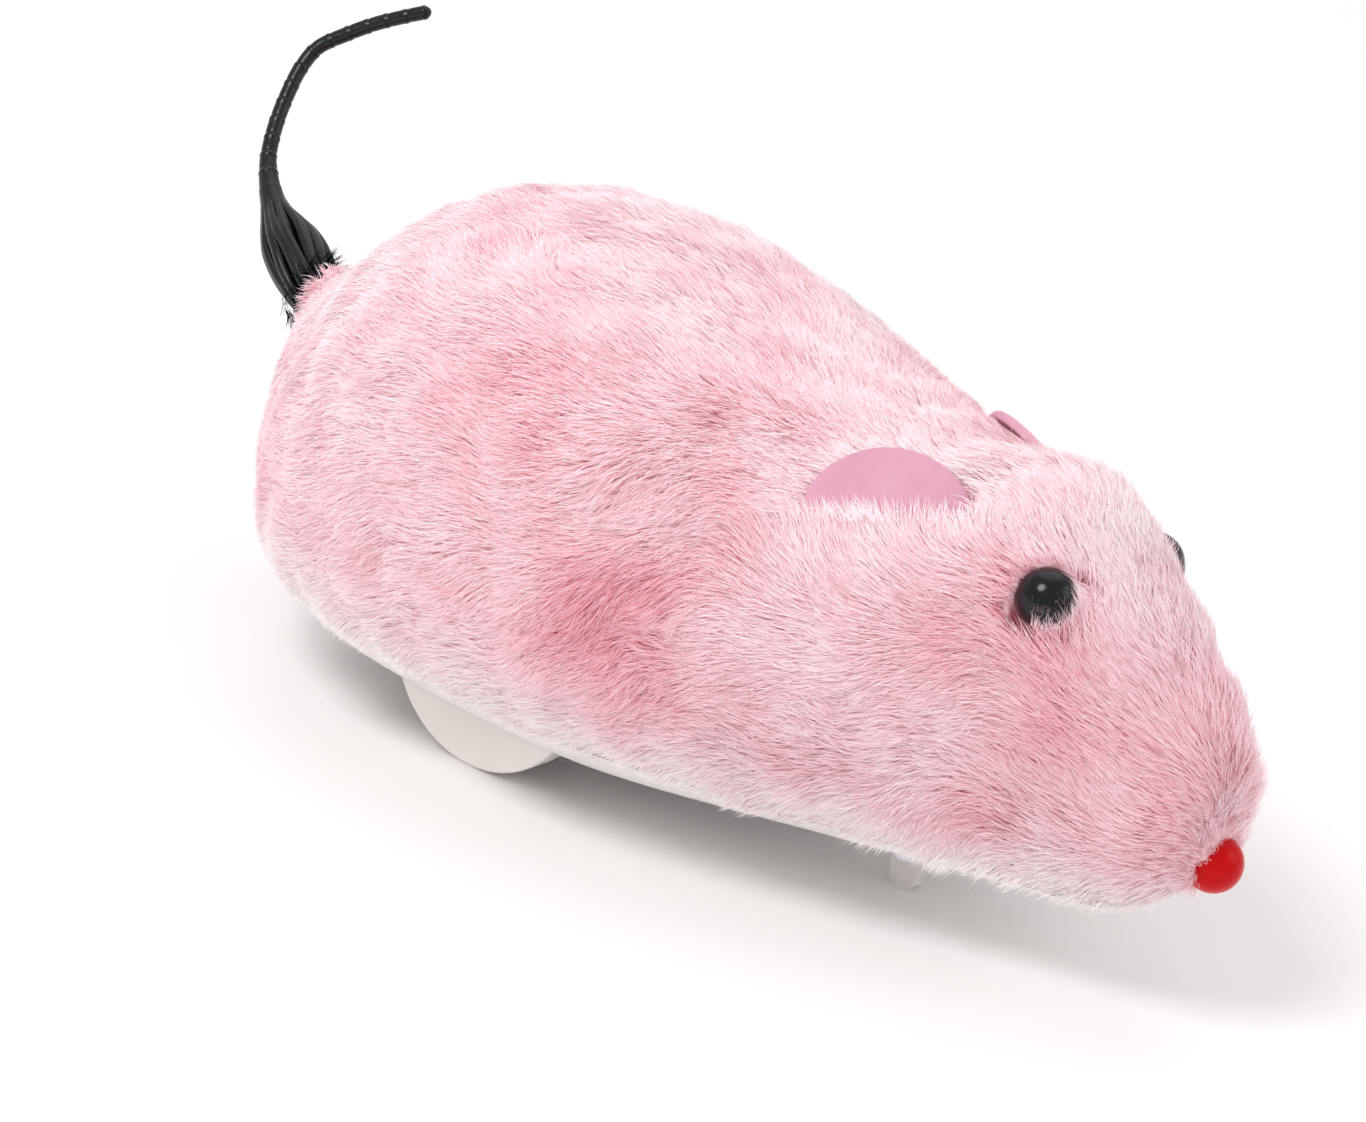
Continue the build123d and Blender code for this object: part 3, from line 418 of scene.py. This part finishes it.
# Each fibre is three steps: how far each rises from the cloth and how far it follows the comb.
STEPS = [(0.95, 0.55), (0.55, 0.85), (0.12, 1.0)]
path = [roots - normals * 0.1 * MM]
sideways = np.cross(normals, comb)
curl = rng.normal(scale=0.16, size=STRANDS)[:, None] * sideways
for up, along in STEPS:
    wobble = rng.normal(scale=0.05, size=(STRANDS, 3))
    way = unit(normals * (up * lift)[:, None] + comb * along + curl + wobble)
    path.append(path[-1] + way * (length / len(STEPS))[:, None])
path = np.stack(path, axis=1)

# Neighbouring fibres lean together into small locks, more so towards their tips.
FIBRES_IN_LOCK = 36
TIGHTNESS = [0.0, 0.12, 0.4, 0.72]
STRAY_SHARE = 0.035
leaders = rng.choice(STRANDS, STRANDS // FIBRES_IN_LOCK, replace=False)
tree = KDTree(len(leaders))
for index, leader in enumerate(leaders):
    tree.insert(Vector(roots[leader]), index)
tree.balance()
lock = leaders[np.array([tree.find(Vector(root))[1] for root in roots])]
pull = (0.34 + 0.18 * waves(roots, 14 * MM, 5)).clip(0.05, 0.8)[:, None]
for index, share in enumerate(TIGHTNESS):
    path[:, index] += (path[lock, index] - path[:, index]) * share * pull
stray = rng.random(STRANDS) < STRAY_SHARE
path[stray, 3] += unit(rng.normal(size=(stray.sum(), 3)) + normals[stray]) * 1.1 * MM


def clear_of_ball(path, middle, radius):
    """Fibres that would run into a bead lie on it instead."""
    for index in range(1, 4):
        gap = path[:, index] - middle
        reach = np.linalg.norm(gap, axis=1)
        inside = reach < radius
        path[inside, index] = middle + gap[inside] / reach[inside][:, None] * radius


def outside_ball(points, middle, radius):
    return np.linalg.norm(points - middle, axis=1) > radius


keep = np.ones(STRANDS, bool)
for eye in eyes.values():
    keep &= outside_ball(roots, eye, EYE_BEAD_R - 1.0 * MM)
keep &= outside_ball(roots, nose_at, NOSE_R - 0.6 * MM)

# Fibres lie on one side of an ear or the other, never through it.
EAR_CLEARANCE = 0.85 * MM
for middle, (along, rise, thin), low, high in ears:
    near_ear = np.flatnonzero(~outside_ball(roots, middle, 20 * MM))
    part = path[near_ear] - middle
    a, b, c = part @ along, part @ rise, part @ thin
    c_mid = -(a**2 * EAR_DISH_ALONG + (b - low[1]).clip(0) ** 2 * EAR_DISH_UP)
    above = c - c_mid
    over = (above[:, :1] > 0) | (b[:, :1] < low[1] - 0.1 * MM)
    oval = (a / high[0]) ** 2 + ((b - low[1]) / (high[1] - low[1])) ** 2
    within = (oval < 1.05) & (b > low[1] - 0.3 * MM)
    crossed = within & ((above > -0.8 * MM) & ~over | (above < 0.8 * MM) & over)
    crossed[:, 0] = False
    shift = np.where(over, EAR_CLEARANCE, -EAR_CLEARANCE) - above
    path[near_ear] += (shift * crossed)[:, :, None] * thin
    # Only short tufts reach over the sewn edge.
    too_far = (b[:, 3] - low[1]) > rng.uniform(1.5, 4.2, len(near_ear)) * MM
    buried = over[:, 0] & within[:, 3] & too_far
    buried |= within[:, 0] & (above[:, 0] > -1.0 * MM)
    keep[near_ear[buried]] = False

# The pile in front of and below each eye leans back over the bead; the rest stays off it.
LEANING_FROM = np.array([0.75, 0, -0.66])
for eye in eyes.values():
    outer = unit(eye - spine(eye[None, :])[0])
    nose_side = unit(LEANING_FROM - outer * (LEANING_FROM @ outer))
    beside = np.flatnonzero(~outside_ball(roots, eye, EYE_BEAD_R + 3.0 * MM))
    spot = roots[beside] - eye
    from_front = (unit(spot) @ nose_side) > 0.35
    over = beside[from_front & (rng.random(len(beside)) < 0.75)]
    reach = rng.uniform(0.5, 1.0, len(over))[:, None]
    for index, (share, height) in enumerate([(0.25, 0.45), (0.62, 0.9), (1.0, 1.02)], start=1):
        aim = roots[over] + (eye - roots[over]) * share * 0.62 * reach
        aim += outer * height * EYE_BEAD_R * 0.75
        aim += rng.normal(scale=0.22, size=(len(over), 3)) * MM
        path[over, index] = aim
    clear_of_ball(path, eye, EYE_BEAD_R + 0.25 * MM)
    crowding = (path[:, 3] - eye) @ outer > EYE_BEAD_R * 0.5
    crowding &= ~outside_ball(path[:, 3], eye, EYE_BEAD_R + 0.5 * MM)
    crowding[over] = False
    keep &= ~crowding
clear_of_ball(path, nose_at, NOSE_R + 0.12 * MM)
front = path[:, 3, 0] > nose_at[0] + 1.4 * MM
keep &= ~(front & ~outside_ball(path[:, 3], nose_at, NOSE_R + 0.3 * MM))
key_gap = np.hypot(path[:, :, 0] - KEY_AT[0], path[:, :, 2] - KEY_AT[2])
keep &= ~((key_gap < KEY_HOLE_R - 0.5 * MM) & (path[:, :, 1] > 0)).any(1)
tail_gap = np.hypot(path[:, :, 1] - TAIL_AT[1], path[:, :, 2] - TAIL_AT[2])
keep &= ~((tail_gap < 4.3 * MM) & (path[:, :, 0] < -56.5 * MM)).any(1)
keep &= (path[:, :, 2] > 5.2 * MM).all(1)

# How pink each fibre is, from 0 for the palest to 1 for the deepest. The first table's spots
# are on both sides, and are given for the left one.
PAIRED_PINK = [
    (0.36, (16.5, 32, 27), 6.5),
    (0.22, (18, 30, 34), 5),
    # The next spot, behind and below each ear's rear end, is painted shade cast by the ear.
    (0.20, (24, 25, 43), 5),
    (0.19, (-1, 33, 34), 9),
    (0.15, (62, 11, 34), 6),
    (-0.15, (70, 9, 18), 5),
    (0.07, (58, 12, 17), 5),
    (-0.08, (9, 31, 17), 6),
    (0.6, (74.2, 8.6, 20.1), 1.1),
]
SINGLE_PINK = [
    (0.20, (16.5, -16.6, 51), 6),
    (-0.22, (58, 0, 48), 8),
    (0.12, (-20, -10, 57), 14),
    (0.07, (-12, -20, 51), 9),
    (-0.12, (-50, 0, 30), 14),
]
pink = 0.40 + 0.07 * waves(roots, 30 * MM, 6) + 0.05 * waves(roots, 9 * MM, 7)
# The top of the back behind the head is painted paler: painted light from above.
pink += 0.10 * flank + 0.05 * head - 0.12 * ramp(z, 46, 56) * (1 - head)
for side in (1, -1):
    pink += spots(roots * np.array([1, side, 1]), PAIRED_PINK)
pink += spots(roots, SINGLE_PINK) - 0.11 * muzzle - 0.5 * pale
PINKEST_SHADE = 6
shade = pink * PINKEST_SHADE + rng.normal(scale=0.55, size=STRANDS)

width = rng.uniform(0.075, 0.115, STRANDS) * MM * (1 - 0.2 * muzzle)


FIBRE_TRIANGLES = np.array([[0, 1, 2], [2, 1, 3], [2, 3, 4], [4, 3, 5], [4, 5, 6]])
# Painted shade: a fibre is given a deeper colour at its root, where little light reaches, than at its tip.
PAINTED_SHADE_ROOT_TO_TIP = np.array([1.9, 1.9, 0.5, 0.5, -0.8])


def ribbons(name, path, widths, up, shades, materials):
    """One piece of many tapering fibres, each with its own shade and shading side."""
    count = len(path)
    ways = unit(np.diff(path, axis=1))
    bends = unit(ways[:, :-1] + ways[:, 1:])
    ways = np.concatenate([ways[:, :1], bends], axis=1)
    side = unit(np.cross(ways, up[:, None, :]))
    twist = rng.uniform(-0.9, 0.9, count)
    side = unit(side * np.cos(twist)[:, None, None] + up[:, None, :] * np.sin(twist)[:, None, None])
    half = side * (widths[:, None] * np.array([0.5, 0.46, 0.34]))[:, :, None]
    points = np.empty((count, 7, 3))
    points[:, 0:6:2] = path[:, :3] - half
    points[:, 1:6:2] = path[:, :3] + half
    points[:, 6] = path[:, 3]
    faces = (FIBRE_TRIANGLES[None] + np.arange(count)[:, None, None] * 7).reshape(-1, 3)
    mesh = bpy.data.meshes.new(name)
    mesh.vertices.add(count * 7)
    mesh.vertices.foreach_set("co", points.ravel())
    mesh.loops.add(faces.size)
    mesh.loops.foreach_set("vertex_index", faces.ravel())
    mesh.polygons.add(len(faces))
    mesh.polygons.foreach_set("loop_start", np.arange(len(faces)) * 3)
    for material in materials:
        mesh.materials.append(material)
    slots = np.rint(shades[:, None] + PAINTED_SHADE_ROOT_TO_TIP).clip(0, len(materials) - 1).astype(int)
    mesh.polygons.foreach_set("material_index", slots.ravel())
    mesh.polygons.foreach_set("use_smooth", np.ones(len(faces), bool))
    mesh.update(calc_edges=True)
    mesh.validate()
    facing = unit(np.cross(side, ways))
    facing *= np.sign((facing * up[:, None]).sum(2, keepdims=True) + 1e-9)
    soft = unit(facing * 0.28 + up[:, None] * 0.8)
    normals = np.concatenate([np.repeat(soft, 2, axis=1), soft[:, 2:]], axis=1).reshape(-1, 3)
    mesh.normals_split_custom_set_from_vertices(normals)
    made = bpy.data.objects.new(name, mesh)
    bpy.context.scene.collection.objects.link(made)
    return made


BANDS = ("rump", "back", "shoulder", "cheek", "muzzle")


def lay_pile():
    """The pile as ten pieces, five bands of the body on each side."""
    kept = np.flatnonzero(keep)
    for side, half in (("left", roots[kept, 1] >= 0), ("right", roots[kept, 1] < 0)):
        own = kept[half]
        own = own[np.argsort(roots[own, 0])]
        for band, members in zip(BANDS, np.array_split(own, len(BANDS))):
            name = f"pile_{band}_{side}"
            own_path, own_up = path[members], normals[members]
            made = ribbons(name, own_path, width[members], own_up, shade[members], pile_materials)
            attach(made, "mouse_body")


lay_pile()

# ---- tail ------------------------------------------------------------------------------

TAIL_TILT = math.radians(41)
TAIL_LINE = [
    (-53.4, -0.4, 2.6),
    (-56.6, -0.1, 3.3),
    (-59.9, 1.4, 3.75),
    (-62.7, 3.0, 3.9),
    (-65.1, 4.3, 3.6),
    (-67.1, 5.5, 2.9),
    (-69.5, 7.1, 2.0),
    (-71.9, 9.1, 1.4),
    (-73.9, 11.2, 1.15),
    (-75.5, 13.4, 1.0),
    (-77.2, 17.2, 0.95),
    (-78.4, 21.3, 0.93),
    (-79.0, 24.9, 0.92),
    (-78.6, 28.1, 0.9),
    (-76.3, 31.0, 0.9),
    (-73.5, 33.8, 0.88),
    (-70.4, 36.2, 0.86),
    (-67.7, 38.1, 0.85),
]
TAIL_STEP = 0.16
TAIL_SIDES = 40
RING_PITCH = 2.5


def smooth_line(stations, step):
    """Evenly spaced points along a curve through the stations, with the radius carried along."""
    stations = np.array(stations)
    ends = np.vstack([2 * stations[0] - stations[1], stations, 2 * stations[-1] - stations[-2]])
    points = []
    for index in range(1, len(ends) - 2):
        before, here, there, after = ends[index - 1 : index + 3]
        slope, bend = there - before, 2 * before - 5 * here + 4 * there - after
        twist = 3 * here - before - 3 * there + after
        for t in np.linspace(0, 1, 40, endpoint=False):
            points.append(0.5 * (2 * here + slope * t + bend * t**2 + twist * t**3))
    points = np.array(points + [stations[-1]])
    gaps = np.linalg.norm(np.diff(points[:, :2], axis=0), axis=1)
    run = np.concatenate([[0], np.cumsum(gaps)])
    places = np.arange(0, run[-1], step)
    return places, np.stack([np.interp(places, run, column) for column in points.T], axis=1)


def tail_axes():
    """Evenly spaced stations of the tail: run, centres, radii, and two square directions."""
    run, line = smooth_line(TAIL_LINE, TAIL_STEP)
    forward = unit(np.gradient(line[:, :2], axis=0))
    spread = np.array([0, math.sin(TAIL_TILT), math.cos(TAIL_TILT)])
    middle = np.outer(line[:, 0], [1, 0, 0]) + np.outer(line[:, 1], spread)
    middle[:, 2] += TAIL_AT[2] / MM
    out = np.outer(-forward[:, 1], [1, 0, 0]) + np.outer(forward[:, 0], spread)
    return run, middle, line[:, 2], out, np.cross([1, 0, 0], spread)


def tube(middle, radii, out, flat, sides, start=0):
    """Points and faces of a closed tube round a line of centres; radii may vary round each ring."""
    angles = np.linspace(0, 2 * math.pi, sides, endpoint=False)
    cosine, sine = np.cos(angles)[None, :, None], np.sin(angles)[None, :, None]
    ring = cosine * out[:, None, :] + sine * flat[None, None, :]
    points = (middle[:, None, :] + ring * radii[:, :, None]).reshape(-1, 3)
    rows = len(middle)
    faces = []
    for row in range(rows - 1):
        here, there = start + row * sides, start + (row + 1) * sides
        for column in range(sides):
            after = (column + 1) % sides
            faces.append((here + column, here + after, there + after, there + column))
    faces.append(tuple(range(start + sides - 1, start - 1, -1)))
    faces.append(tuple(range(start + (rows - 1) * sides, start + rows * sides)))
    return points, faces


TAIL_LOCKS = 15
LOCK_SIDES = 14
LOCK_LENGTH = 24


def tail_mesh():
    """The whip tail: soft locks fanned out at the root, drawn together into a ringed cord."""
    run, middle, radius, out, flat = tail_axes()
    total = run[-1]
    phase = run % RING_PITCH - RING_PITCH / 2
    crest = 0.07 * np.exp(-((phase / 0.22) ** 2))
    groove = 0.05 * np.exp(-(((phase - 0.45) / 0.2) ** 2))
    ring = (crest - groove) * ramp(run, 20, 24)
    tip = np.sqrt(np.clip(1 - ((run - total + 0.9) / 0.95).clip(0) ** 2, 0.02, 1))
    drawn_in = 1 - 0.36 * ramp(run, 2, 5) * (1 - ramp(run, 13, 21))
    core = radius * (1 + ring) * tip * drawn_in
    core_radii = np.repeat(core[:, None], TAIL_SIDES, axis=1)
    points, faces = tube(middle, core_radii, out, flat, TAIL_SIDES)
    points = [points]
    count = len(points[0])
    length = int(LOCK_LENGTH / TAIL_STEP)
    for index in range(TAIL_LOCKS):
        turn = 2 * math.pi * index / TAIL_LOCKS + 0.25 * math.sin(3.1 * index)
        thick = (0.205 + 0.045 * math.cos(2.3 * index)) * radius[:length]
        thick = np.maximum(thick, 0.28) * (1 - 0.65 * ramp(run[:length], 17, LOCK_LENGTH))
        reach = radius[:length] - thick * (1 + 0.9 * ramp(run[:length], 16, LOCK_LENGTH))
        wander = turn + 0.10 * np.sin(run[:length] * 0.35 + 1.7 * index) + 0.02 * run[:length]
        away = np.cos(wander)[:, None] * out[:length] + np.sin(wander)[:, None] * flat
        lock = middle[:length] + away * reach[:, None]
        lock_radii = np.repeat(thick[:, None], LOCK_SIDES, axis=1)
        own, own_faces = tube(lock, lock_radii, out[:length], flat, LOCK_SIDES, count)
        points.append(own)
        faces += own_faces
        count += len(own)
    return np.concatenate(points) * MM, faces


tail_points, tail_faces = tail_mesh()
tail = new_object("whip_tail", tail_points, tail_faces, black_rubber)
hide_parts("tail")
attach(tail, "tail_rotor")


def root_fringe():
    """Short black hairs round the root of the tail, lying out over the pile."""
    count = 420
    angles = rng.uniform(0, 2 * math.pi, count)
    ring = np.stack([np.zeros(count), np.cos(angles), np.sin(angles)], axis=1)
    start = TAIL_AT + np.array([-3.6, 0, 0]) * MM + ring * 3.4 * MM
    start[:, 0] -= rng.uniform(-0.8, 1.4, count) * MM
    reach = rng.uniform(1.8, 3.8, count)[:, None] * MM
    way = unit(ring * 0.6 + np.array([0.75, 0, 0]) + rng.normal(scale=0.16, size=(count, 3)))
    bend = unit(way + ring * 0.5)
    first = start + way * reach * 0.35
    second = start + (way + bend) * reach * 0.35
    last = start + (way + 2 * bend) * reach * 0.33
    lines = np.stack([start, first, second, last], axis=1)
    widths = rng.uniform(0.1, 0.16, count) * MM
    made = ribbons("tail_root_fringe", lines, widths, ring, np.zeros(count), [black_rubber])
    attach(made, "tail_rotor")


root_fringe()

# ---- small edges on the moulded parts ------------------------------------------------------

ROUNDED = {"lower_chassis": 0.3, "wheel_left": 0.25, "wheel_right": 0.25, "winding_key": 0.35}
for node, reach in ROUNDED.items():
    edge = nodes[node].modifiers.new("edge", "BEVEL")
    edge.width = reach * MM
    edge.segments = 2
    edge.limit_method = "ANGLE"
    edge.angle_limit = math.radians(50)

# ---- stage -----------------------------------------------------------------------------

floor_material = mottled("pale_floor", srgb(250, 249, 248), srgb(247, 246, 245), 3, 0.85)
floor = new_object(
    "floor",
    [(-4, -4, 0), (4, -4, 0), (4, 4, 0), (-4, 4, 0)],
    [(0, 1, 2, 3)],
    floor_material,
    smooth=False,
)

AZIMUTH, ELEVATION, ROLL = (math.radians(v) for v in (34.71, 22.06, 11.51))
TARGET = Vector((0, 0, 0.025))
DISTANCE = 0.650
back = Vector(
    (
        math.sin(AZIMUTH) * math.cos(ELEVATION),
        -math.cos(AZIMUTH) * math.cos(ELEVATION),
        math.sin(ELEVATION),
    )
)
level = Vector((math.cos(AZIMUTH), math.sin(AZIMUTH), 0))
upright = back.cross(level)
camera_x = level * math.cos(ROLL) + upright * math.sin(ROLL)
camera_y = upright * math.cos(ROLL) - level * math.sin(ROLL)
camera_data = bpy.data.cameras.new("camera")
camera_data.lens = 151.36
camera_data.sensor_width = 36
camera_data.shift_x = 0.0066
camera_data.shift_y = -0.0110
camera_data.clip_start = 0.05
camera_data.clip_end = 50
camera = bpy.data.objects.new("camera", camera_data)
camera_turn = Matrix((camera_x, camera_y, back)).transposed().to_4x4()
camera.matrix_world = Matrix.Translation(TARGET + back * DISTANCE) @ camera_turn
bpy.context.scene.collection.objects.link(camera)
bpy.context.scene.camera = camera


def soft_light(name, place, size, power):
    data = bpy.data.lights.new(name, "AREA")
    data.shape = "DISK"
    data.size = size
    data.energy = power
    light = bpy.data.objects.new(name, data)
    light.location = place
    light.rotation_mode = "QUATERNION"
    light.rotation_quaternion = (Vector(place) - TARGET).to_track_quat("Z", "Y")
    bpy.context.scene.collection.objects.link(light)


up = Vector((0, 0, 1))
soft_light("key_light", TARGET - level * 0.45 + back * 0.45 + up * 0.60, 0.42, 4.2)
soft_light("fill_light", TARGET + level * 0.95 + back * 0.1 + up * 0.55, 0.7, 1.3)
soft_light("top_light", TARGET - back * 0.45 + up * 0.95, 0.9, 1.45)

world = bpy.data.worlds.new("studio")
world.use_nodes = True
world.node_tree.nodes["Background"].inputs["Color"].default_value = (1, 1, 1, 1)
world.node_tree.nodes["Background"].inputs["Strength"].default_value = 0.70
bpy.context.scene.world = world
bpy.context.scene.view_settings.view_transform = "Standard"
